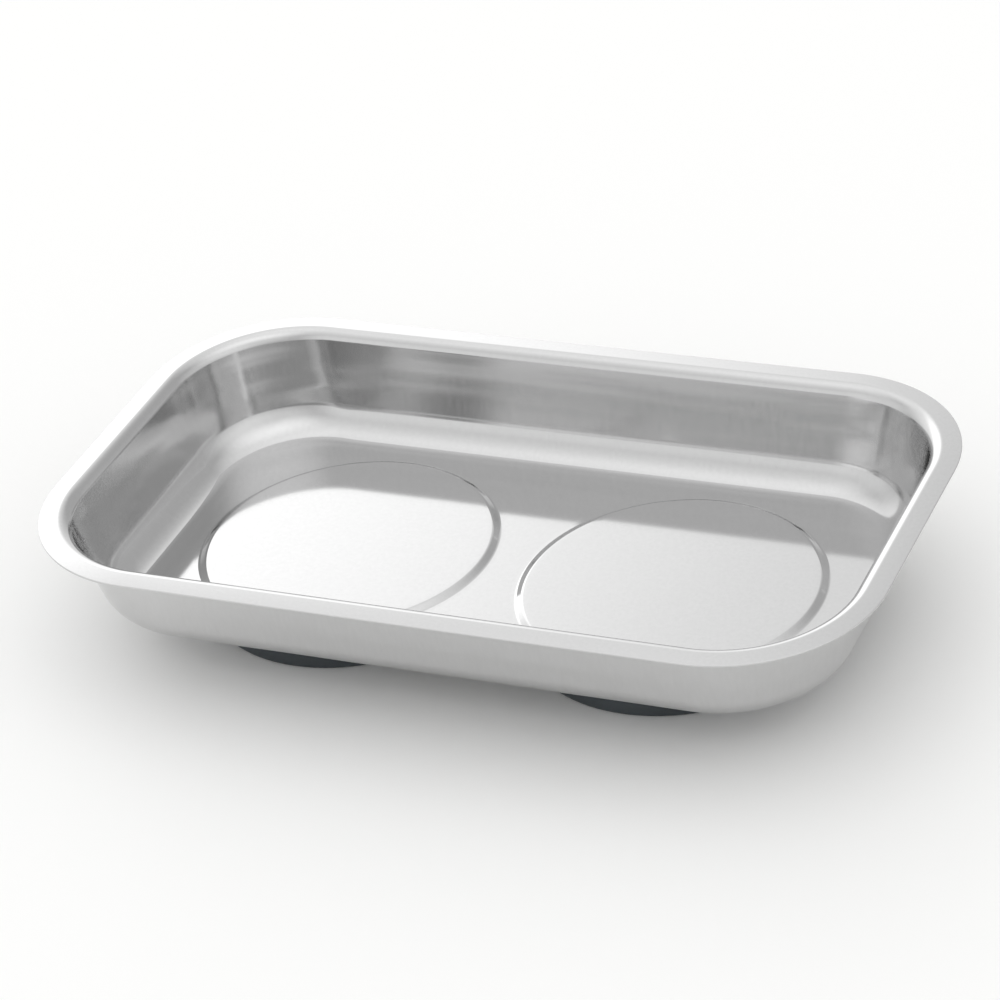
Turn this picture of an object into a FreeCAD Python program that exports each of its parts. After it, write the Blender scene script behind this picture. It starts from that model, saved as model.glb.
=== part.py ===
"""Magnetic parts tray: a drawn stainless steel dish on two rubber-covered magnet bases.

The origin is on the surface the tray stands on, midway between the two bases. +X runs along
the tray, +Z is up. Sizes are in millimetres. The driving dimensions are in the sheet "Sizes";
every sketch, feature and placement below is bound to it.
"""
import FreeCAD, Part
import math
import os
import Sketcher

# Driving dimensions: name -> (value, what it measures).
SIZES = {
    # The dish, measured on the upper (inner) surface of the sheet
    "tray_length": (241.0, "rim, end to end"),
    "tray_width": (140.0, "rim, side to side"),
    "rim_corner": (41.2, "corner radius of the rim's outer edge"),
    "rim_width": (8.1, "outer edge to where the wall would meet the rim if the bend were sharp"),
    "rim_height": (41.9, "surface to the rim's outer edge"),
    "rim_fall": (0.6, "how much lower the outer edge is than that sharp corner"),
    "rim_bend": (3.5, "radius of the bend between rim and wall"),
    "mouth_corner": (33.1, "corner radius of the wall at the rim"),
    "floor_inset": (6.0, "how far the wall leans in between the rim and the floor"),
    "floor_corner": (32.2, "corner radius of the wall at the floor"),
    "floor_bend": (10.0, "radius of the bend between wall and floor"),
    "floor_height": (13.2, "surface to the dish's floor"),
    "sheet": (0.6, "thickness of the stainless sheet"),
    "sheet_side": (0.5, "outside of the wall beyond its inside, one sheet lower"),
    # The raised round seats that the bases sit under
    "base_offset": (48.2, "middle of the tray to the middle of each base"),
    "seat_radius": (42.4, "foot of the raised seat"),
    "seat_rise": (1.0, "height of the seat above the floor"),
    "seat_slope": (62.0, "lean of the seat's side, in degrees from upright"),
    "seat_bend": (1.6, "rounding at the head and foot of the seat's side"),
    "seat_tuck": (0.2, "how much smaller the seat is on the underside"),
    # Rubber cover
    "cover_radius": (41.6, "outside of the cover"),
    "cover_wall": (1.8, "side wall"),
    "cover_floor": (1.6, "bottom wall"),
    "cover_lip": (1.4, "height of the lip that hooks over the cup"),
    "lip_reach": (3.2, "how far the lip reaches in from the outside"),
    "cover_round": (1.5, "rounding of the lower outer edge"),
    "lip_round": (0.8, "rounding of the upper outer edge"),
    # Pressed steel cup
    "cup_radius": (39.8, "outside of the cup"),
    "cup_height": (10.1, "height of the cup"),
    "cup_sheet": (1.5, "thickness of the cup"),
    "hub_radius": (9.0, "inside of the raised hub that hides the nut"),
    "hub_rise": (7.0, "underside of the hub above the underside of the cup"),
    "hub_bore": (2.75, "clearance hole for the stud"),
    "cup_outer_round": (2.5, "outside rounding of the pressing"),
    "cup_inner_round": (1.0, "inside rounding of the pressing"),
    # Ferrite ring and the foam ring on top of it
    "magnet_radius": (36.0, "outside of the ferrite ring"),
    "magnet_bore": (16.0, "hole in the ferrite ring"),
    "magnet_height": (9.3, "thickness of the ferrite ring"),
    "magnet_round": (0.5, "edge of the ferrite ring"),
    "cushion_radius": (35.0, "outside of the foam ring"),
    "cushion_bore": (17.0, "hole in the foam ring"),
    "cushion_height": (1.2, "thickness of the foam ring, squeezed"),
    # Fixing: M5 stud, spacer, washers and thin nut
    "stud_radius": (2.5, "M5 stud"),
    "stud_length": (9.7, "stud below its flange"),
    "stud_round": (0.5, "end of the stud"),
    "flange_radius": (3.25, "weld flange of the stud"),
    "flange_height": (0.8, "weld flange of the stud"),
    "spacer_radius": (6.0, "outside of the spacer"),
    "spacer_bore": (2.7, "hole in the spacer"),
    "spacer_length": (2.7, "length of the spacer"),
    "edge_round": (0.2, "broken edge of a small steel part"),
    "washer_radius": (5.0, "M5 flat washer"),
    "washer_bore": (2.65, "M5 flat washer"),
    "washer_height": (1.0, "M5 flat washer"),
    "spring_radius": (4.6, "M5 spring washer"),
    "spring_bore": (2.6, "M5 spring washer"),
    "spring_height": (1.2, "M5 spring washer, squeezed flat"),
    "spring_sweep": (350.0, "arc of the split ring, in degrees"),
    "nut_flats": (8.0, "M5 thin nut, across flats"),
    "nut_height": (2.7, "M5 thin nut"),
    "nut_bore": (2.55, "M5 thin nut"),
    "nut_face": (3.8, "radius of the nut's round end faces"),
    "nut_crop": (0.45, "how far the cropped corners run along the nut"),
}

SIDES = {"left": "- base_offset", "right": "base_offset"}
TOLERANCE = 1e-4
UP = FreeCAD.Vector(0, 0, 1)


def build_sheet(doc):
    """Write the driving dimensions into a sheet, one row each, with the name as alias."""
    sheet = doc.addObject("Spreadsheet::Sheet", "Sizes")
    for row, (name, (value, meaning)) in enumerate(SIZES.items(), start=1):
        sheet.set(f"A{row}", name)
        sheet.set(f"B{row}", str(value))
        sheet.set(f"C{row}", meaning)
        sheet.setAlias(f"B{row}", name)
    doc.recompute()


def amount(formula):
    """Work out a sum of size names, such as "cover_floor + cup_sheet"."""
    total, sign = 0.0, 1.0
    for word in formula.split():
        if word in ("+", "-"):
            sign = 1.0 if word == "+" else -1.0
        else:
            total += sign * (SIZES[word][0] if word in SIZES else float(word))
    return total


def bind(item, path, formula):
    """Bind a property or a named constraint to a sum of size names."""
    words = [f"Sizes.{word}" if word in SIZES else word for word in formula.split()]
    item.setExpression(path, " ".join(words))


def new_body(doc, label, across="0", up="0"):
    """Start a body with its own label, placed along X and Z by two formulas."""
    body = doc.addObject("PartDesign::Body", label)
    body.Label = label
    bind(body, ".Placement.Base.x", across)
    bind(body, ".Placement.Base.z", up)
    return body


def new_sketch(body, name, role, level="0"):
    """Add a sketch on one of the body's own origin planes, moved along the plane's normal."""
    sketch = body.newObject("Sketcher::SketchObject", name)
    plane = next(item for item in body.Origin.OriginFeatures if item.Role == role)
    sketch.AttachmentSupport = [(plane, "")]
    sketch.MapMode = "FlatFace"
    bind(sketch, ".AttachmentOffset.Base.z", level)
    return sketch


def constrain(sketch, name, formula, kind, *where):
    """Add a named driving constraint and bind it to the sheet."""
    index = sketch.addConstraint(Sketcher.Constraint(kind, *where, amount(formula)))
    sketch.renameConstraint(index, name)
    bind(sketch, f"Constraints.{name}", formula)


def draw_rounded_rectangle(sketch, length, width, corner):
    """Draw a rounded rectangle centred on the sketch's origin; the sizes are formulas."""
    radius = amount(corner)
    far_x, far_y = amount(length) / 2, amount(width) / 2
    near_x, near_y = far_x - radius, far_y - radius
    lines, arcs = [], []
    for quarter in range(4):
        turn = quarter * math.pi / 2
        out, along = ((far_y, near_x) if quarter % 2 else (far_x, near_y))
        outward = FreeCAD.Vector(math.cos(turn), math.sin(turn), 0)
        forward = FreeCAD.Vector(-math.sin(turn), math.cos(turn), 0)
        start, end = outward * out - forward * along, outward * out + forward * along
        lines.append(sketch.addGeometry(Part.LineSegment(start, end)))
        centre = end - outward * radius
        circle = Part.Circle(centre, UP, radius)
        arcs.append(sketch.addGeometry(Part.ArcOfCircle(circle, turn, turn + math.pi / 2)))
    for quarter in range(4):
        following = lines[(quarter + 1) % 4]
        sketch.addConstraint(Sketcher.Constraint("Tangent", lines[quarter], 2, arcs[quarter], 1))
        sketch.addConstraint(Sketcher.Constraint("Tangent", arcs[quarter], 2, following, 1))
    for arc in arcs[1:]:
        sketch.addConstraint(Sketcher.Constraint("Equal", arcs[0], arc))
    right, back, left, front = lines
    sketch.addConstraint(Sketcher.Constraint("Vertical", left))
    sketch.addConstraint(Sketcher.Constraint("Horizontal", front))
    sketch.addConstraint(Sketcher.Constraint("Symmetric", right, 1, right, 2, -1))
    sketch.addConstraint(Sketcher.Constraint("Symmetric", back, 2, back, 1, -2))
    constrain(sketch, "corner", corner, "Radius", arcs[0])
    constrain(sketch, "length", length, "DistanceX", left, 1, right, 1)
    constrain(sketch, "width", width, "DistanceY", front, 1, back, 1)


def draw_outline(sketch, corners):
    """Draw a closed outline through (radius, height) corners, each tied to the origin."""
    places = [FreeCAD.Vector(amount(across), amount(up), 0) for across, up in corners]
    lines = [
        sketch.addGeometry(Part.LineSegment(start, end))
        for start, end in zip(places, places[1:] + places[:1])
    ]
    for index, (across, up) in enumerate(corners):
        line = lines[index]
        sketch.addConstraint(Sketcher.Constraint("Coincident", lines[index - 1], 2, line, 1))
        for name, kind, formula, axis in (
            (f"across_{line}", "DistanceX", across, -2),
            (f"up_{line}", "DistanceY", up, -1),
        ):
            if formula == "0":
                sketch.addConstraint(Sketcher.Constraint("PointOnObject", line, 1, axis))
            else:
                constrain(sketch, name, formula, kind, -1, 1, line, 1)


def round_edges(body, base, size, wanted):
    """Round the edges of the base feature that the test picks out; the radius is a formula."""
    body.Document.recompute()
    names = [f"Edge{i}" for i, edge in enumerate(base.Shape.Edges, start=1) if wanted(edge)]
    if not names:
        raise RuntimeError(f"{body.Label}: no edge to round by {size}")
    fillet = body.newObject("PartDesign::Fillet", "Rounding")
    fillet.Base = (base, names)
    bind(fillet, "Radius", size)
    return fillet


def is_level(edge, height):
    """Tell whether all of an edge lies at the height that a formula gives."""
    box, level = edge.BoundBox, amount(height)
    return abs(box.ZMin - level) < TOLERANCE and abs(box.ZMax - level) < TOLERANCE


def is_arc_at(edge, height, radius=None):
    """Tell whether an edge is a level arc at that height, and of that radius if one is given."""
    if not isinstance(edge.Curve, Part.Circle) or not is_level(edge, height):
        return False
    return radius is None or abs(edge.Curve.Radius - amount(radius)) < TOLERANCE


def turned_body(doc, label, corners, across, up, sweep="360"):
    """Turn an outline about Z. A corner is (radius, height) or (radius, height, rounding)."""
    body = new_body(doc, label, across, up)
    sketch = new_sketch(body, "Outline", "XZ_Plane")
    draw_outline(sketch, [corner[:2] for corner in corners])
    last = body.newObject("PartDesign::Revolution", "Turning")
    last.Profile = sketch
    last.ReferenceAxis = (sketch, ["V_Axis"])
    bind(last, "Angle", sweep)
    rounded = [corner for corner in corners if len(corner) == 3]
    for size in dict.fromkeys(rounding for _, _, rounding in rounded):
        rings = [(up, radius) for radius, up, rounding in rounded if rounding == size]
        last = round_edges(body, last, size, lambda e: any(is_arc_at(e, *ring) for ring in rings))
    return body


def loft(body, kind, name, profile, section):
    """Join two outlines with straight-sided faces."""
    feature = body.newObject(f"PartDesign::{kind}", name)
    feature.Profile = profile
    feature.Sections = [section]
    feature.Ruled = True
    return feature


def build_press_block(doc, label, below=False):
    """Make a block whose top is the upper face of the pressed sheet, or the lower face."""
    less, more = ("- sheet", "+ sheet") if below else ("", "")
    wider = "+ sheet_side + sheet_side" if below else ""
    rounder = "+ sheet_side" if below else ""
    mouth_length = f"tray_length - rim_width - rim_width {wider}"
    mouth_width = f"tray_width - rim_width - rim_width {wider}"
    mouth_level = f"rim_height + rim_fall {less}"
    floor_level = f"floor_height {less}"
    seat_radius = "seat_radius - seat_tuck" if below else "seat_radius"

    body = new_body(doc, label)
    edge = new_sketch(body, "RimEdge", "XY_Plane", f"rim_height {less}")
    draw_rounded_rectangle(edge, "tray_length", "tray_width", "rim_corner")
    block = body.newObject("PartDesign::Pad", "Block")
    block.Profile = edge
    block.Reversed = True
    bind(block, "Length", f"rim_height {less}")

    mouth = new_sketch(body, "Mouth", "XY_Plane", mouth_level)
    draw_rounded_rectangle(mouth, mouth_length, mouth_width, f"mouth_corner {rounder}")
    loft(body, "AdditiveLoft", "RimSlope", edge, mouth)

    floor = new_sketch(body, "Floor", "XY_Plane", floor_level)
    floor_length = f"{mouth_length} - floor_inset - floor_inset"
    floor_width = f"{mouth_width} - floor_inset - floor_inset"
    draw_rounded_rectangle(floor, floor_length, floor_width, f"floor_corner {rounder}")
    last = loft(body, "SubtractiveLoft", "Hollow", mouth, floor)
    last = round_edges(body, last, f"floor_bend {more}", lambda e: is_level(e, floor_level))
    last = round_edges(body, last, f"rim_bend {less}", lambda e: is_level(e, mouth_level))

    seats = new_sketch(body, "Seats", "XY_Plane", floor_level)
    for side, across in SIDES.items():
        circle = Part.Circle(FreeCAD.Vector(amount(across), 0, 0), UP, amount(seat_radius))
        ring = seats.addGeometry(circle)
        seats.addConstraint(Sketcher.Constraint("PointOnObject", ring, 3, -1))
        constrain(seats, f"{side}_radius", seat_radius, "Radius", ring)
        ends = (ring, 3, -1, 1) if side == "left" else (-1, 1, ring, 3)
        constrain(seats, f"{side}_offset", "base_offset", "DistanceX", *ends)
    last = body.newObject("PartDesign::Pad", "SeatRise")
    last.Profile = seats
    bind(last, "Length", "seat_rise")
    bind(last, "TaperAngle", "0 - seat_slope")
    seat_level = f"{floor_level} + seat_rise"
    last = round_edges(body, last, f"seat_bend {less}", lambda e: is_arc_at(e, seat_level))
    round_edges(body, last, f"seat_bend {more}", lambda e: is_arc_at(e, floor_level, seat_radius))
    return body


def build_tray(doc):
    """Make the dish as what lies between the two faces of the pressed sheet."""
    tray = doc.addObject("Part::Cut", "tray")
    tray.Label = "tray"
    tray.Base = build_press_block(doc, "upper_face_block")
    tray.Tool = build_press_block(doc, "lower_face_block", below=True)
    return tray


def build_nut(doc, label, across, up):
    """Make a thin hexagon nut with cropped corners."""
    body = new_body(doc, label, across, up)
    sketch = new_sketch(body, "Hexagon", "XY_Plane")
    reach = amount("nut_flats") / 2 / math.cos(math.pi / 6)
    tips = [
        FreeCAD.Vector(reach * math.cos(k * math.pi / 3), reach * math.sin(k * math.pi / 3), 0)
        for k in range(6)
    ]
    lines = [
        sketch.addGeometry(Part.LineSegment(start, end))
        for start, end in zip(tips, tips[1:] + tips[:1])
    ]
    rim = sketch.addGeometry(Part.Circle(FreeCAD.Vector(), UP, reach), True)
    bore = sketch.addGeometry(Part.Circle(FreeCAD.Vector(), UP, amount("nut_bore")))
    for ring in (rim, bore):
        sketch.addConstraint(Sketcher.Constraint("Coincident", ring, 3, -1, 1))
    for index, line in enumerate(lines):
        sketch.addConstraint(Sketcher.Constraint("Coincident", lines[index - 1], 2, line, 1))
        sketch.addConstraint(Sketcher.Constraint("PointOnObject", line, 1, rim))
    for line in lines[1:]:
        sketch.addConstraint(Sketcher.Constraint("Equal", lines[0], line))
    sketch.addConstraint(Sketcher.Constraint("Horizontal", lines[1]))
    constrain(sketch, "flats", "nut_flats", "DistanceY", lines[4], 1, lines[1], 1)
    constrain(sketch, "bore", "nut_bore", "Radius", bore)
    block = body.newObject("PartDesign::Pad", "Block")
    block.Profile = sketch
    bind(block, "Length", "nut_height")

    crops = (("Lower", "0", "nut_crop"), ("Upper", "nut_height", "nut_height - nut_crop"))
    for end, face, side in crops:
        outline = new_sketch(body, f"{end}Crop", "XZ_Plane")
        draw_outline(outline, [("nut_face", face), ("nut_flats", face), ("nut_flats", side)])
        crop = body.newObject("PartDesign::Groove", f"{end}Cropping")
        crop.Profile = outline
        crop.ReferenceAxis = (outline, ["V_Axis"])
        bind(crop, "Angle", "360")
    return body


def build_base(doc, side, across):
    """Make the pieces of one magnet base, from the surface up to the seat that it hangs under."""
    cover_height = "cover_floor + cup_height + cover_lip"
    cover_inside = "cover_radius - cover_wall"
    lip_inside = "cover_radius - lip_reach"
    cup_inside = "cup_radius - cup_sheet"
    hub_outside = "hub_radius + cup_sheet"
    hub_top = "hub_rise + cup_sheet"
    hub_underside = "cover_floor + hub_rise"
    spring_level = f"{hub_underside} - washer_height - spring_height"
    spacer_level = f"{hub_underside} + cup_sheet"
    stud_level = f"{spacer_level} + spacer_length - stud_length"

    cover = turned_body(doc, f"rubber_cover_{side}", [
        ("0", "0"),
        ("cover_radius", "0", "cover_round"),
        ("cover_radius", cover_height, "lip_round"),
        (lip_inside, cover_height),
        (lip_inside, "cover_floor + cup_height"),
        (cover_inside, "cover_floor + cup_height"),
        (cover_inside, "cover_floor"),
        ("0", "cover_floor"),
    ], across, "0")
    cup = turned_body(doc, f"pole_cup_{side}", [
        ("hub_bore", "hub_rise"),
        ("hub_radius", "hub_rise", "cup_inner_round"),
        ("hub_radius", "0", "cup_outer_round"),
        ("cup_radius", "0", "cup_outer_round"),
        ("cup_radius", "cup_height"),
        (cup_inside, "cup_height"),
        (cup_inside, "cup_sheet", "cup_inner_round"),
        (hub_outside, "cup_sheet", "cup_inner_round"),
        (hub_outside, hub_top, "cup_outer_round"),
        ("hub_bore", hub_top),
    ], across, "cover_floor")
    magnet = turned_body(doc, f"ring_magnet_{side}", [
        ("magnet_bore", "0", "magnet_round"),
        ("magnet_radius", "0", "magnet_round"),
        ("magnet_radius", "magnet_height", "magnet_round"),
        ("magnet_bore", "magnet_height", "magnet_round"),
    ], across, "cover_floor + cup_sheet")
    cushion = turned_body(doc, f"cushion_ring_{side}", [
        ("cushion_bore", "0"),
        ("cushion_radius", "0"),
        ("cushion_radius", "cushion_height"),
        ("cushion_bore", "cushion_height"),
    ], across, "cover_floor + cup_sheet + magnet_height")
    stud = turned_body(doc, f"weld_stud_{side}", [
        ("0", "0"),
        ("stud_radius", "0", "stud_round"),
        ("stud_radius", "stud_length"),
        ("flange_radius", "stud_length"),
        ("flange_radius", "stud_length + flange_height"),
        ("0", "stud_length + flange_height"),
    ], across, stud_level)
    spacer = turned_body(doc, f"spacer_{side}", [
        ("spacer_bore", "0", "edge_round"),
        ("spacer_radius", "0", "edge_round"),
        ("spacer_radius", "spacer_length", "edge_round"),
        ("spacer_bore", "spacer_length", "edge_round"),
    ], across, spacer_level)
    washer = turned_body(doc, f"flat_washer_{side}", [
        ("washer_bore", "0"),
        ("washer_radius", "0", "edge_round"),
        ("washer_radius", "washer_height", "edge_round"),
        ("washer_bore", "washer_height"),
    ], across, f"{hub_underside} - washer_height")
    spring = turned_body(doc, f"spring_washer_{side}", [
        ("spring_bore", "0"),
        ("spring_radius", "0"),
        ("spring_radius", "spring_height"),
        ("spring_bore", "spring_height"),
    ], across, spring_level, "spring_sweep")
    nut = build_nut(doc, f"hex_nut_{side}", across, f"{spring_level} - nut_height")
    return [cover, cup, magnet, cushion, stud, spacer, washer, spring, nut]


def check_document(doc, pieces):
    """Stop if any object failed to build or any piece is not one valid solid."""
    for item in doc.Objects:
        if {"Invalid", "Error"} & set(item.State):
            raise RuntimeError(f"{item.Label} failed: {item.State}")
    for piece in pieces:
        shape = piece.Shape
        if shape.isNull() or not shape.isValid() or len(shape.Solids) != 1:
            raise RuntimeError(f"{piece.Label} is not one valid solid")


def main():
    """Build the document, check it and write each piece to its own file."""
    doc = FreeCAD.newDocument("MagneticPartsTray")
    build_sheet(doc)
    pieces = [build_tray(doc)]
    for side, across in SIDES.items():
        pieces += build_base(doc, side, across)
    doc.recompute()
    check_document(doc, pieces)
    os.makedirs("parts", exist_ok=True)
    for piece in pieces:
        piece.Shape.exportStep(f"parts/{piece.Label}.step")


main()
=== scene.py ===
"""Looks of a magnetic parts tray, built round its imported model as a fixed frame."""
import math

import bmesh
import bpy
from mathutils import Matrix, Vector


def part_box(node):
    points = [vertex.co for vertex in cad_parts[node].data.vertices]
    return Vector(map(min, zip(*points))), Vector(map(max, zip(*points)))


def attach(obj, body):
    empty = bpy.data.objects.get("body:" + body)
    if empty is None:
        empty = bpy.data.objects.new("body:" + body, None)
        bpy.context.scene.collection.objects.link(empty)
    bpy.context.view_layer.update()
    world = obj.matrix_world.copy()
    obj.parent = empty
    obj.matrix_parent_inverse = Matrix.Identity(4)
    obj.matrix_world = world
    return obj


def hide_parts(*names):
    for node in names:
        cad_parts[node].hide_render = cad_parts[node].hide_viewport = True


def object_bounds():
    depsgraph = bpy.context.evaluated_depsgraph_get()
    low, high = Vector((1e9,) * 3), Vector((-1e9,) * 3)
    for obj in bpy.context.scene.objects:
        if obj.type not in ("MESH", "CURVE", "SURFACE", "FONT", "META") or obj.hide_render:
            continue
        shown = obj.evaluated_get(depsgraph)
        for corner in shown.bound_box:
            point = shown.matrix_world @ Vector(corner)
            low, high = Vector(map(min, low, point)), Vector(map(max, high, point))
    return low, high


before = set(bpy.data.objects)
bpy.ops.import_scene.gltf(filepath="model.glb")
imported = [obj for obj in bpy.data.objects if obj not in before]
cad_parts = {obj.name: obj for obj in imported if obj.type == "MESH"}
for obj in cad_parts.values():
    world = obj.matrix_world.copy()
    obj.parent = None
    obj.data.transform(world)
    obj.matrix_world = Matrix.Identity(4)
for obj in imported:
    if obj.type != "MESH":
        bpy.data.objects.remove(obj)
CAD_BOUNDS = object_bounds()

bl_info = {
    "name": "Magnetic Parts Tray",
    "version": (1, 0, 0),
    "blender": (4, 5, 0),
    "location": "3D View > Sidebar > Parts Tray",
    "description": "Builds a stainless magnetic parts tray with its bases, materials and studio",
    "category": "Object",
}

SIDES = ("left", "right")
TRAY_LOW, TRAY_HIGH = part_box("tray")

# How finely the curves of the dish are divided
CORNER_STEPS = 28
RIM_BEND_STEPS = 8
FLOOR_BEND_STEPS = 14
SEAT_STEPS = 144
SEAT_BEND_STEPS = 4
EDGE_BREAK_STEPS = 2

# A face whose normal rises less than this stands upright
UPRIGHT = 0.1
# How strongly large faces lead the normals, on the modifier's scale of 1 to 100
FLAT_FACE_WEIGHT = 100
SENSOR_WIDTH = 36

# The colour sockets of a Mix node, whose names are shared by its other types
MIX_A, MIX_B, MIX_RESULT = 6, 7, 2

# Soft lamps round the tray: the way towards each, its strength, and the cosine where it fades out
SOFT_LAMPS = {
    "overhead": ((0.0, 0.0, 1.0), 0.56, 0.60),
    "back left": ((-0.69, 0.69, 0.21), 0.53, 0.60),
    "front left": ((-0.69, -0.69, 0.21), 0.38, 0.60),
    "front": ((0.0, -0.98, 0.21), 0.10, 0.60),
    "right": ((0.98, 0.0, 0.21), 0.21, 0.60),
    "high left": ((-0.61, 0.35, 0.71), 0.17, 0.60),
    "high right": ((0.61, -0.35, 0.71), 0.34, 0.60),
    "small back left": ((-0.62, 0.70, 0.35), 0.68, 0.92),
}


def linear(code):
    """Turn an sRGB hex colour into the linear values that Blender works in."""
    parts = [int(code[i:i + 2], 16) / 255 for i in (0, 2, 4)]
    return tuple(c / 12.92 if c <= 0.04045 else ((c + 0.055) / 1.055) ** 2.4 for c in parts)


def length(name, description, default):
    """A size in metres that the panel shows in the scene's own unit."""
    return bpy.props.FloatProperty(
        name=name, description=description, default=default, min=0.0, unit="LENGTH", precision=4
    )


def angle(name, description, default):
    """An angle given in degrees and kept in radians."""
    return bpy.props.FloatProperty(
        name=name, description=description, default=math.radians(default), subtype="ANGLE"
    )


def colour(name, description, code):
    """A colour given as sRGB hex and kept as linear values."""
    return bpy.props.FloatVectorProperty(
        name=name, description=description, default=linear(code), subtype="COLOR", min=0, max=1
    )


class DishSettings(bpy.types.PropertyGroup):
    """Sizes of the pressed dish that the frame's box doesn't give."""

    sheet: length("Sheet", "Thickness of the stainless sheet", 0.0006)
    rim_corner: length("Rim corner", "Corner radius of the rim's outer edge", 0.0412)
    rim_width: length("Rim width", "From the outer edge to the sharp corner of the rim", 0.0081)
    rim_fall: length("Rim fall", "Drop from that sharp corner to the outer edge", 0.0006)
    rim_bend: length("Rim bend", "Radius of the bend between rim and wall", 0.0035)
    wall_lean: length("Wall lean", "How far the wall leans in on its way down", 0.006)
    floor_corner: length("Floor corner", "Corner radius of the wall at the floor", 0.0322)
    floor_bend: length("Floor bend", "Radius of the bend between wall and floor", 0.010)
    floor_margin: length("Floor margin", "From the foot of the wall to the flat floor", 0.0095)
    seat_radius: length("Seat radius", "Foot of each raised round seat", 0.0424)
    seat_rise: length("Seat rise", "Height of each seat above the floor", 0.001)
    seat_step: length("Seat step", "Width of the slope at a seat's side", 0.00188)
    seat_bend: length("Seat bend", "Rounding at the head and foot of that slope", 0.0016)
    seat_border: length("Seat border", "Flat border on each side of the slope", 0.0018)
    edge_break: length("Edge break", "Rounding of the trimmed edge", 0.00016)


class StageSettings(bpy.types.PropertyGroup):
    """Camera, lights and floor."""

    azimuth: angle("Azimuth", "Camera's turn round the tray", 27.51)
    elevation: angle("Elevation", "Camera's height over the horizon", 32.46)
    roll: angle("Roll", "Camera's turn about its own line of sight", -8.55)
    distance: length("Distance", "From the camera to the point it looks at", 0.9939)
    aim_x: bpy.props.FloatProperty(
        name="Aim X", description="Point looked at, along the tray", default=0.00624, unit="LENGTH"
    )
    aim_y: bpy.props.FloatProperty(
        name="Aim Y", description="Point looked at, across the tray", default=-0.01078, unit="LENGTH"
    )
    lens: bpy.props.FloatProperty(
        name="Lens", description="Focal length on a 36 mm sensor", default=134.08, unit="CAMERA"
    )
    floor_size: length("Floor size", "Side of the square floor", 6.0)
    floor_gap: length("Floor gap", "Keeps the floor off the plane of the bases", 0.00005)
    floor_colour: colour("Floor colour", "Pale paper that the tray stands on", "FAFAF9")
    fill: bpy.props.FloatProperty(
        name="Fill", description="Strength of the even light all round", default=0.58, min=0
    )
    lamps: bpy.props.FloatProperty(
        name="Lamps", description="Strength of all the soft lamps together", default=1.0, min=0
    )


# ---------------------------------------------------------------------------------------------
# Mesh helpers


def level_edges(bm, level, slack=1e-6):
    """Edges that lie all at one height."""
    return [e for e in bm.edges if all(abs(v.co.z - level) < slack for v in e.verts)]


def inset(bm, face, margin):
    """Leave an even margin round the inside of a face."""
    bmesh.ops.inset_region(
        bm, faces=[face], thickness=margin, use_even_offset=True, use_boundary=True
    )


def round_edges(bm, edges, radius, turn, segments):
    """Bevel edges to a radius; turn is the angle that the surface turns through there."""
    return bmesh.ops.bevel(
        bm, geom=edges, offset=radius * math.tan(turn / 2), offset_type="OFFSET",
        segments=segments, profile=0.5, affect="EDGES", material=-1, clamp_overlap=True,
    )


def grow_ring(bm, edges, centre, factor, lift=0.0):
    """Extrude a closed ring of edges, scale it about a centre and lift it."""
    grown = bmesh.ops.extrude_edge_only(bm, edges=edges)["geom"]
    verts = [g for g in grown if isinstance(g, bmesh.types.BMVert)]
    bmesh.ops.scale(bm, vec=(factor, factor, 1), verts=verts, space=Matrix.Translation(-centre))
    bmesh.ops.translate(bm, vec=(0, 0, lift), verts=verts)
    return [g for g in grown if isinstance(g, bmesh.types.BMEdge)]


def base_centre(side):
    """The point on the surface under the middle of one magnet base."""
    low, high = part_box(f"rubber_cover_{side}")
    return Vector(((low.x + high.x) / 2, 0, low.z))


def finish_piece(name, bm, finish, slot, *nodes):
    """Turn a bmesh into a smooth piece that rides on the tray and stands for CAD nodes."""
    mesh = bpy.data.meshes.new(name)
    bm.to_mesh(mesh)
    bm.free()
    mesh.shade_smooth()
    piece = bpy.data.objects.new(name, mesh)
    bpy.context.scene.collection.objects.link(piece)
    mesh.materials.append(finish)
    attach(piece, "root")
    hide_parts(*nodes)
    return piece


def steady_normals(piece):
    """Let large flat faces set the normals, so that the narrow bends don't tint them."""
    weighted = piece.modifiers.new("Steady normals", "WEIGHTED_NORMAL")
    weighted.weight = FLAT_FACE_WEIGHT
    weighted.keep_sharp = True


# ---------------------------------------------------------------------------------------------
# Material helpers


def new_material(name):
    """An empty node material with its output, and the node tree."""
    material = bpy.data.materials.new(name)
    material.use_nodes = True
    material.node_tree.nodes.clear()
    return material, material.node_tree


def add(tree, kind, inputs=None, **settings):
    """Add a node, set its settings, and set or link its inputs by name or number."""
    item = tree.nodes.new(kind)
    for key, value in settings.items():
        setattr(item, key, value)
    for key, value in (inputs or {}).items():
        if isinstance(value, bpy.types.NodeSocket):
            tree.links.new(value, item.inputs[key])
        else:
            item.inputs[key].default_value = value
    return item


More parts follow.
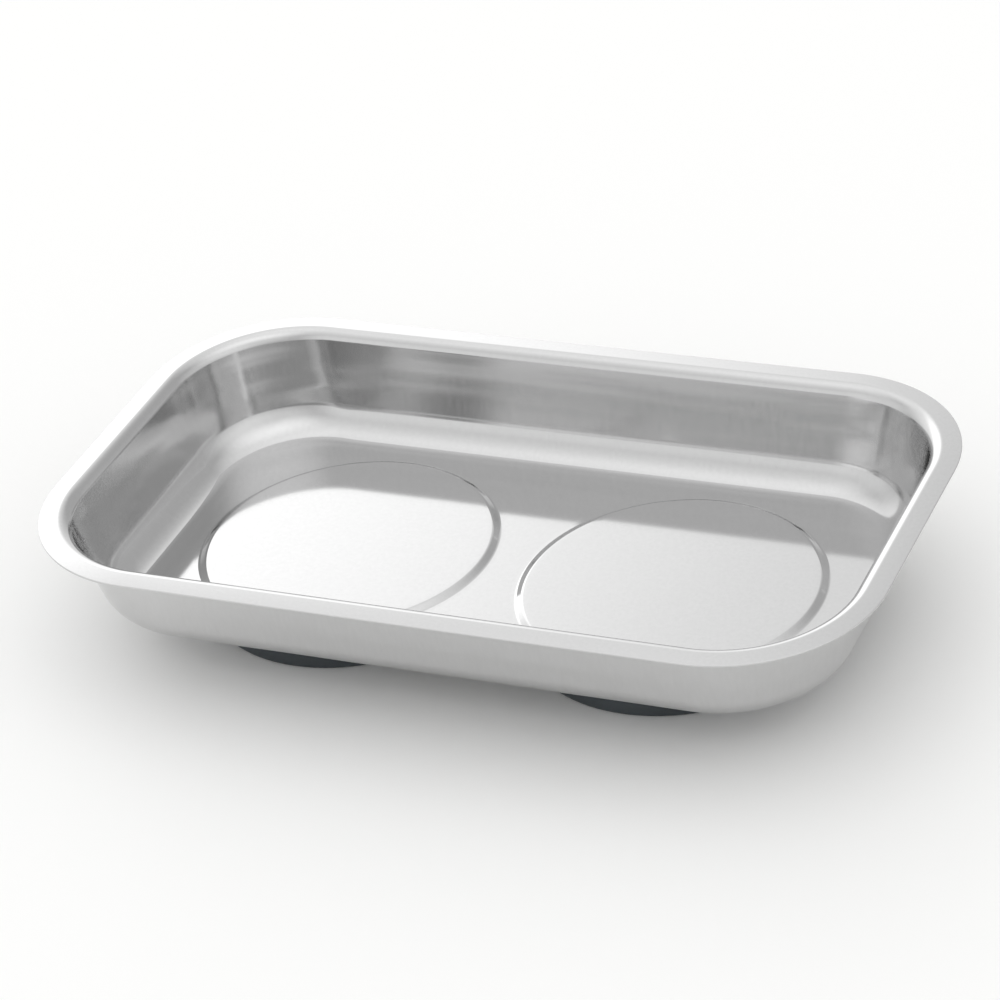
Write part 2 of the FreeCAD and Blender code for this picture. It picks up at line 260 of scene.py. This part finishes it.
def drawn_stainless():
    """Stainless sheet, deep drawn and then polished.

    The flat floor and rim are close to a mirror. The drawn walls are a little duller, with soft
    level bands that the punch left and faint upright draw lines, and the whole sheet is very
    slightly wavy, which bends the reflections as pressed metal does.
    """
    material, tree = new_material("Drawn_polished_stainless_steel")
    place = add(tree, "ShaderNodeTexCoord").outputs["Object"]
    normal = add(tree, "ShaderNodeNewGeometry").outputs["Normal"]
    facing = add(tree, "ShaderNodeSeparateXYZ", {0: normal})
    level = add(tree, "ShaderNodeMath", {0: facing.outputs["Z"]}, operation="ABSOLUTE").outputs[0]
    wall = add(tree, "ShaderNodeMapRange", {
        "Value": level, "From Min": 0.97, "From Max": 0.45,
    }, interpolation_type="SMOOTHSTEP").outputs[0]

    # Draw lines about 1 mm apart and 40 mm long; bands about 8 mm high and 90 mm long; swells
    # about 30 mm apart
    upright = add(tree, "ShaderNodeMapping", {"Vector": place, "Scale": (1000, 1000, 25)})
    lines = add(tree, "ShaderNodeTexNoise", {
        "Vector": upright.outputs[0], "Scale": 1.0, "Detail": 2.0, "Roughness": 0.5,
    }).outputs["Fac"]
    flat = add(tree, "ShaderNodeMapping", {"Vector": place, "Scale": (11, 11, 125)})
    bands = add(tree, "ShaderNodeTexNoise", {
        "Vector": flat.outputs[0], "Scale": 1.0, "Detail": 1.0, "Roughness": 0.35,
    }).outputs["Fac"]
    swell = add(tree, "ShaderNodeTexNoise", {
        "Vector": place, "Scale": 33.0, "Detail": 1.0, "Roughness": 0.3,
    }).outputs["Fac"]

    lined = add(tree, "ShaderNodeMath", {0: lines, 1: wall}, operation="MULTIPLY").outputs[0]
    wave = add(tree, "ShaderNodeBump", {"Height": swell, "Distance": 0.00002})
    bulge = add(tree, "ShaderNodeBump", {
        "Height": bands, "Strength": wall, "Distance": 0.00026, "Normal": wave.outputs[0],
    })
    # Roughness: 0.07 on the flats and 0.12 to 0.16 on the walls, moved by the draw lines
    base = add(tree, "ShaderNodeMapRange", {"Value": wall, "To Min": 0.07, "To Max": 0.12})
    rough = add(
        tree, "ShaderNodeMath", {0: lined, 1: 0.04, 2: base.outputs[0]}, operation="MULTIPLY_ADD"
    )
    tint = add(tree, "ShaderNodeMix", {
        "Factor": lines, MIX_A: (*linear("C9C9C9"), 1), MIX_B: (*linear("D0D0D0"), 1),
    }, data_type="RGBA")
    steel = add(tree, "ShaderNodeBsdfPrincipled", {
        "Base Color": tint.outputs[MIX_RESULT], "Metallic": 1.0, "Roughness": rough.outputs[0],
        "Normal": bulge.outputs[0],
    })
    add(tree, "ShaderNodeOutputMaterial", {"Surface": steel.outputs[0]})
    return material


def moulded_rubber():
    """Black nitrile rubber from a smooth mould: dark, softly shiny, with a faint dusty bloom."""
    material, tree = new_material("Moulded_black_rubber")
    place = add(tree, "ShaderNodeTexCoord").outputs["Object"]
    # Mould grain about 0.4 mm across, and bloom in patches about 12 mm across
    grain = add(tree, "ShaderNodeTexNoise", {
        "Vector": place, "Scale": 2500.0, "Detail": 2.0,
    }).outputs["Fac"]
    bloom = add(tree, "ShaderNodeTexNoise", {
        "Vector": place, "Scale": 80.0, "Detail": 4.0,
    }).outputs["Fac"]
    tint = add(tree, "ShaderNodeMix", {
        "Factor": bloom, MIX_A: (*linear("303538"), 1), MIX_B: (*linear("434A4E"), 1),
    }, data_type="RGBA")
    rough = add(tree, "ShaderNodeMapRange", {"Value": bloom, "To Min": 0.42, "To Max": 0.62})
    bump = add(tree, "ShaderNodeBump", {"Height": grain, "Strength": 0.35, "Distance": 0.00003})
    rubber = add(tree, "ShaderNodeBsdfPrincipled", {
        "Base Color": tint.outputs[MIX_RESULT], "Roughness": rough.outputs[0], "IOR": 1.52,
        "Normal": bump.outputs[0],
    })
    add(tree, "ShaderNodeOutputMaterial", {"Surface": rubber.outputs[0]})
    return material


def zinc_plated_pressing():
    """Mild steel cup, pressed and zinc plated: silver with a cool cast and cloudy passivation."""
    material, tree = new_material("Zinc_plated_pressed_steel")
    place = add(tree, "ShaderNodeTexCoord").outputs["Object"]
    # Clouds of the passivate about 15 mm across; the sheet's own orange peel about 0.8 mm across
    clouds = add(tree, "ShaderNodeTexNoise", {
        "Vector": place, "Scale": 65.0, "Detail": 5.0, "Distortion": 0.6,
    }).outputs["Fac"]
    peel = add(tree, "ShaderNodeTexNoise", {
        "Vector": place, "Scale": 1250.0, "Detail": 2.0,
    }).outputs["Fac"]
    tint = add(tree, "ShaderNodeValToRGB", {"Fac": clouds})
    for stop, code in zip(tint.color_ramp.elements, ("B4BAC2", "C9CBC6")):
        stop.color = (*linear(code), 1)
    rough = add(tree, "ShaderNodeMapRange", {"Value": clouds, "To Min": 0.24, "To Max": 0.40})
    bump = add(tree, "ShaderNodeBump", {"Height": peel, "Strength": 0.5, "Distance": 0.00001})
    zinc = add(tree, "ShaderNodeBsdfPrincipled", {
        "Base Color": tint.outputs["Color"], "Metallic": 1.0, "Roughness": rough.outputs[0],
        "Normal": bump.outputs[0],
    })
    add(tree, "ShaderNodeOutputMaterial", {"Surface": zinc.outputs[0]})
    return material


def sintered_ferrite():
    """Hard ferrite, sintered and ground: charcoal grey, dry, with fine pits and dark speckles."""
    material, tree = new_material("Sintered_ferrite")
    place = add(tree, "ShaderNodeTexCoord").outputs["Object"]
    # Pits about 1.2 mm apart and grain about 0.25 mm across
    cells = add(tree, "ShaderNodeTexVoronoi", {"Vector": place, "Scale": 830.0}).outputs["Distance"]
    pits = add(tree, "ShaderNodeMapRange", {"Value": cells, "From Min": 0.05, "From Max": 0.22})
    grain = add(tree, "ShaderNodeTexNoise", {
        "Vector": place, "Scale": 4000.0, "Detail": 3.0,
    }).outputs["Fac"]
    tint = add(tree, "ShaderNodeMix", {
        "Factor": grain, MIX_A: (*linear("2A2B2D"), 1), MIX_B: (*linear("434447"), 1),
    }, data_type="RGBA")
    rough = add(tree, "ShaderNodeMapRange", {"Value": grain, "To Min": 0.55, "To Max": 0.8})
    bump = add(tree, "ShaderNodeBump", {
        "Height": pits.outputs[0], "Strength": 0.6, "Distance": 0.00005,
    })
    ferrite = add(tree, "ShaderNodeBsdfPrincipled", {
        "Base Color": tint.outputs[MIX_RESULT], "Roughness": rough.outputs[0], "IOR": 1.9,
        "Normal": bump.outputs[0],
    })
    add(tree, "ShaderNodeOutputMaterial", {"Surface": ferrite.outputs[0]})
    return material


def cellular_foam():
    """Closed-cell foam, cut from sheet: black and matt, with small open half-bubbles whose hollows are
    darkened with painted shade.
    """
    material, tree = new_material("Closed_cell_foam")
    place = add(tree, "ShaderNodeTexCoord").outputs["Object"]
    # Bubbles about 0.7 mm across
    cells = add(tree, "ShaderNodeTexVoronoi", {"Vector": place, "Scale": 1400.0}).outputs["Distance"]
    # Painted shade: the colour darkens towards the middle of each bubble, where the bump sinks deepest
    tint = add(tree, "ShaderNodeMix", {
        "Factor": cells, MIX_A: (*linear("18191A"), 1), MIX_B: (*linear("37383A"), 1),
    }, data_type="RGBA")
    bump = add(tree, "ShaderNodeBump", {"Height": cells, "Strength": 1.0, "Distance": 0.0002})
    foam = add(tree, "ShaderNodeBsdfPrincipled", {
        "Base Color": tint.outputs[MIX_RESULT], "Roughness": 0.95, "IOR": 1.5, "Normal": bump.outputs[0],
    })
    add(tree, "ShaderNodeOutputMaterial", {"Surface": foam.outputs[0]})
    return material


def turned_metal(name, dull, bright, roughest):
    """Small turned or headed fixing: bright metal with fine rings that the tool left.

    The rings run round each piece's own upright middle line, 0.12 mm apart.
    """
    material, tree = new_material(name)
    place = add(tree, "ShaderNodeTexCoord").outputs["Object"]
    # Both bases share one pattern: their middles are mirror images about the origin
    parts = add(tree, "ShaderNodeSeparateXYZ", {0: place})
    along = add(tree, "ShaderNodeMath", {0: parts.outputs["X"]}, operation="ABSOLUTE").outputs[0]
    out = add(tree, "ShaderNodeMath", {0: along, 1: base_centre("right").x}, operation="SUBTRACT")
    centred = add(tree, "ShaderNodeCombineXYZ", {0: out.outputs[0], 1: parts.outputs["Y"]})
    radius = add(tree, "ShaderNodeVectorMath", {0: centred.outputs[0]}, operation="LENGTH")
    rings = add(tree, "ShaderNodeCombineXYZ", {0: radius.outputs["Value"], 2: parts.outputs["Z"]})
    marks = add(tree, "ShaderNodeTexNoise", {
        "Vector": rings.outputs[0], "Scale": 8300.0, "Detail": 1.0,
    }).outputs["Fac"]
    wear = add(tree, "ShaderNodeTexNoise", {
        "Vector": place, "Scale": 420.0, "Detail": 3.0,
    }).outputs["Fac"]
    tint = add(tree, "ShaderNodeMix", {
        "Factor": wear, MIX_A: (*linear(dull), 1), MIX_B: (*linear(bright), 1),
    }, data_type="RGBA")
    rough = add(tree, "ShaderNodeMapRange", {"Value": wear, "To Min": 0.18, "To Max": roughest})
    bump = add(tree, "ShaderNodeBump", {"Height": marks, "Strength": 0.5, "Distance": 0.000006})
    metal = add(tree, "ShaderNodeBsdfPrincipled", {
        "Base Color": tint.outputs[MIX_RESULT], "Metallic": 1.0, "Roughness": rough.outputs[0],
        "Normal": bump.outputs[0],
    })
    add(tree, "ShaderNodeOutputMaterial", {"Surface": metal.outputs[0]})
    return material


def studio_paper(shade):
    """Matt studio paper, nearly white."""
    material, tree = new_material("Matt_studio_paper")
    place = add(tree, "ShaderNodeTexCoord").outputs["Object"]
    # Fibres about 1 mm apart
    fibre = add(tree, "ShaderNodeTexNoise", {
        "Vector": place, "Scale": 900.0, "Detail": 3.0,
    }).outputs["Fac"]
    bump = add(tree, "ShaderNodeBump", {"Height": fibre, "Strength": 0.1, "Distance": 0.0001})
    paper = add(tree, "ShaderNodeBsdfPrincipled", {
        "Base Color": (*shade, 1), "Roughness": 0.9, "Normal": bump.outputs[0],
    })
    add(tree, "ShaderNodeOutputMaterial", {"Surface": paper.outputs[0]})
    return material


# ---------------------------------------------------------------------------------------------
# The dish


def rounded_outline(bm, half, corner, level):
    """Lay down one rounded rectangle as a face, centred over the origin at a level."""
    grid = bmesh.ops.create_grid(bm, x_segments=1, y_segments=1, size=1)["verts"]
    bmesh.ops.scale(bm, vec=(half.x, half.y, 1), verts=grid)
    bmesh.ops.translate(bm, vec=(0, 0, level), verts=grid)
    rounded = bmesh.ops.bevel(
        bm, geom=grid, offset=corner, offset_type="OFFSET", segments=CORNER_STEPS, profile=0.5,
        affect="VERTICES", material=-1,
    )
    return rounded["verts"][0].link_faces[0]


def press_skin(dish):
    """Press the upper face of the sheet: rim, bend, leaning wall, bend and floor border."""
    half = (TRAY_HIGH - TRAY_LOW) / 2
    mouth_half = half - Vector((dish.rim_width, dish.rim_width, 0))
    floor_half = mouth_half - Vector((dish.wall_lean, dish.wall_lean, 0))
    floor_level = TRAY_LOW.z + dish.sheet
    lean = math.atan(dish.wall_lean / (TRAY_HIGH.z - floor_level))
    slope = math.atan(dish.rim_fall / dish.rim_width)
    rim_turn = math.pi / 2 - lean + slope
    past_bend = dish.rim_bend * math.tan(rim_turn / 2) * math.sin(slope)
    mouth_level = TRAY_HIGH.z + past_bend - dish.rim_bend * (1 - math.cos(slope))

    bm = bmesh.new()
    middle = rounded_outline(bm, half, dish.rim_corner, mouth_level - dish.rim_fall)
    inset(bm, middle, dish.rim_width)
    bmesh.ops.translate(bm, vec=(0, 0, dish.rim_fall), verts=middle.verts)
    mouth = middle.edges[:]
    bmesh.ops.delete(bm, geom=[middle], context="FACES_ONLY")
    middle = rounded_outline(bm, floor_half, dish.floor_corner, floor_level)
    inset(bm, middle, dish.floor_margin)
    foot = [e for e in level_edges(bm, floor_level) if e.is_boundary]
    bmesh.ops.delete(bm, geom=[middle], context="FACES_ONLY")
    bmesh.ops.bridge_loops(bm, edges=mouth + foot)
    bmesh.ops.recalc_face_normals(bm, faces=bm.faces)
    round_edges(bm, foot, dish.floor_bend, math.pi / 2 - lean, FLOOR_BEND_STEPS)
    round_edges(bm, level_edges(bm, mouth_level), dish.rim_bend, rim_turn, RIM_BEND_STEPS)
    return bm, floor_level


def press_seat(bm, dish, centre):
    """Raise one round seat inside the floor: border, slope and top, with both bends rounded."""
    radius = dish.seat_radius + dish.seat_border
    ring = bmesh.ops.create_circle(
        bm, segments=SEAT_STEPS, radius=radius, matrix=Matrix.Translation(centre)
    )
    outer = list({e for v in ring["verts"] for e in v.link_edges})
    top_radius = dish.seat_radius - dish.seat_step
    inner_radius = top_radius - dish.seat_border
    foot = grow_ring(bm, outer, centre, dish.seat_radius / radius)
    head = grow_ring(bm, foot, centre, top_radius / dish.seat_radius, dish.seat_rise)
    inner = grow_ring(bm, head, centre, inner_radius / top_radius)
    bmesh.ops.contextual_create(bm, geom=inner)
    turn = math.atan(dish.seat_rise / dish.seat_step)
    round_edges(bm, foot + head, dish.seat_bend, turn, SEAT_BEND_STEPS)
    return outer


def thicken(bm, dish):
    """Give the skin the sheet's thickness below it, and break the trimmed edge."""
    bmesh.ops.recalc_face_normals(bm, faces=bm.faces)
    floor = max(bm.faces, key=lambda f: f.calc_area())
    if floor.normal.z < 0:
        bmesh.ops.reverse_faces(bm, faces=bm.faces[:])
    bmesh.ops.solidify(bm, geom=bm.faces[:], thickness=dish.sheet)
    bm.normal_update()
    edge_level = TRAY_HIGH.z - 2 * dish.sheet - dish.rim_fall
    trimmed = {
        f for f in bm.faces
        if abs(f.normal.z) < UPRIGHT and f.calc_center_median().z > edge_level
    }
    corners = [e for e in bm.edges if len(trimmed.intersection(e.link_faces)) == 1]
    bmesh.ops.bevel(
        bm, geom=corners, offset=dish.edge_break, offset_type="OFFSET",
        segments=EDGE_BREAK_STEPS, profile=0.5, affect="EDGES", material=-1,
    )


class TRAY_OT_dish(bpy.types.Operator):
    """Press the dish from one sheet of stainless steel"""

    bl_idname = "tray.press_dish"
    bl_label = "Press Dish"

    def execute(self, context):
        dish = context.scene.tray_dish
        bm, floor_level = press_skin(dish)
        border = [e for e in level_edges(bm, floor_level) if e.is_boundary]
        rings = []
        for side in SIDES:
            centre = base_centre(side)
            rings += press_seat(bm, dish, Vector((centre.x, 0, floor_level)))
        bmesh.ops.triangle_fill(
            bm, use_beauty=True, use_dissolve=False, edges=border + rings, normal=(0, 0, 1)
        )
        thicken(bm, dish)
        piece = finish_piece("dish", bm, drawn_stainless(), "dish", "tray")
        steady_normals(piece)
        return {"FINISHED"}


# ---------------------------------------------------------------------------------------------
# Finishes of the pieces that keep their CAD shape, and the studio


class TRAY_OT_finishes(bpy.types.Operator):
    """Give the pieces of the magnet bases their real finishes"""

    bl_idname = "tray.apply_finishes"
    bl_label = "Apply Finishes"

    def execute(self, context):
        plated = turned_metal("Bright_zinc_plated_steel", "B9BEC6", "D2D4D3", 0.34)
        finishes = {
            "rubber_cover": moulded_rubber(),
            "pole_cup": zinc_plated_pressing(),
            "ring_magnet": sintered_ferrite(),
            "cushion_ring": cellular_foam(),
            "weld_stud": turned_metal("Turned_stainless_steel", "BDBAB4", "CFCDC9", 0.28),
            "spacer": plated,
            "flat_washer": plated,
            "spring_washer": plated,
            "hex_nut": plated,
        }
        for kind, finish in finishes.items():
            for side in SIDES:
                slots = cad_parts[f"{kind}_{side}"].data.materials
                slots.clear()
                slots.append(finish)
        return {"FINISHED"}


def aim_camera(stage):
    """Place the camera round the point that it looks at."""
    turn, rise = stage.azimuth, stage.elevation
    back = Vector((math.sin(turn) * math.cos(rise), -math.cos(turn) * math.cos(rise), math.sin(rise)))
    right = Vector((math.cos(turn), math.sin(turn), 0))
    upright = back.cross(right)
    roll_x = right * math.cos(stage.roll) + upright * math.sin(stage.roll)
    roll_y = upright * math.cos(stage.roll) - right * math.sin(stage.roll)
    data = bpy.data.cameras.new("Camera")
    data.lens = stage.lens
    data.sensor_width = SENSOR_WIDTH
    camera = bpy.data.objects.new("Camera", data)
    aim = Vector((stage.aim_x, stage.aim_y, TRAY_HIGH.z))
    camera.matrix_world = Matrix.Translation(aim + back * stage.distance) @ Matrix(
        (roll_x, roll_y, back)
    ).transposed().to_4x4()
    bpy.context.scene.collection.objects.link(camera)
    bpy.context.scene.camera = camera


def light_sky(stage):
    """Even studio light with soft lamps on top of it; none stands at the back right."""
    world = bpy.data.worlds.new("Studio")
    bpy.context.scene.world = world
    world.use_nodes = True
    tree = world.node_tree
    tree.nodes.clear()
    way = add(tree, "ShaderNodeTexCoord").outputs["Generated"]
    light = stage.fill
    for toward, strength, fade in SOFT_LAMPS.values():
        along = add(
            tree, "ShaderNodeVectorMath", {0: way, 1: Vector(toward).normalized()},
            operation="DOT_PRODUCT",
        )
        lobe = add(tree, "ShaderNodeMapRange", {
            "Value": along.outputs["Value"], "From Min": fade, "From Max": 1.0,
        }, interpolation_type="SMOOTHSTEP")
        light = add(tree, "ShaderNodeMath", {
            0: lobe.outputs[0], 1: strength * stage.lamps, 2: light,
        }, operation="MULTIPLY_ADD").outputs[0]
    sky = add(tree, "ShaderNodeBackground", {"Color": (1, 1, 1, 1), "Strength": light})
    add(tree, "ShaderNodeOutputWorld", {"Surface": sky.outputs[0]})


class TRAY_OT_stage(bpy.types.Operator):
    """Set the camera, the soft light and the pale floor"""

    bl_idname = "tray.set_stage"
    bl_label = "Set Stage"

    def execute(self, context):
        stage = context.scene.tray_stage
        # Plain sRGB, so that white paper comes out white
        context.scene.view_settings.view_transform = "Standard"
        aim_camera(stage)
        light_sky(stage)
        bm = bmesh.new()
        bmesh.ops.create_grid(bm, x_segments=1, y_segments=1, size=stage.floor_size / 2)
        bmesh.ops.translate(bm, vec=(0, 0, CAD_BOUNDS[0].z - stage.floor_gap), verts=bm.verts)
        mesh = bpy.data.meshes.new("studio_floor")
        bm.to_mesh(mesh)
        bm.free()
        mesh.materials.append(studio_paper(stage.floor_colour))
        floor = bpy.data.objects.new("studio_floor", mesh)
        context.scene.collection.objects.link(floor)
        return {"FINISHED"}


class TRAY_PT_panel(bpy.types.Panel):
    """Lists the steps in the order that they run"""

    bl_label = "Parts Tray"
    bl_idname = "TRAY_PT_panel"
    bl_space_type = "VIEW_3D"
    bl_region_type = "UI"
    bl_category = "Parts Tray"

    def draw(self, context):
        column = self.layout.column()
        for step in STEPS:
            column.operator(step.bl_idname)


STEPS = (TRAY_OT_dish, TRAY_OT_finishes, TRAY_OT_stage)
CLASSES = (DishSettings, StageSettings, *STEPS, TRAY_PT_panel)


def register():
    """Register the classes and hang the settings on the scene."""
    for item in CLASSES:
        bpy.utils.register_class(item)
    bpy.types.Scene.tray_dish = bpy.props.PointerProperty(type=DishSettings)
    bpy.types.Scene.tray_stage = bpy.props.PointerProperty(type=StageSettings)


def unregister():
    """Undo what register did."""
    del bpy.types.Scene.tray_stage
    del bpy.types.Scene.tray_dish
    for item in reversed(CLASSES):
        bpy.utils.unregister_class(item)


def main():
    """Register the steps, then build every piece in order."""
    register()
    bpy.ops.tray.press_dish()
    bpy.ops.tray.apply_finishes()
    bpy.ops.tray.set_stage()


if __name__ == "__main__":
    main()
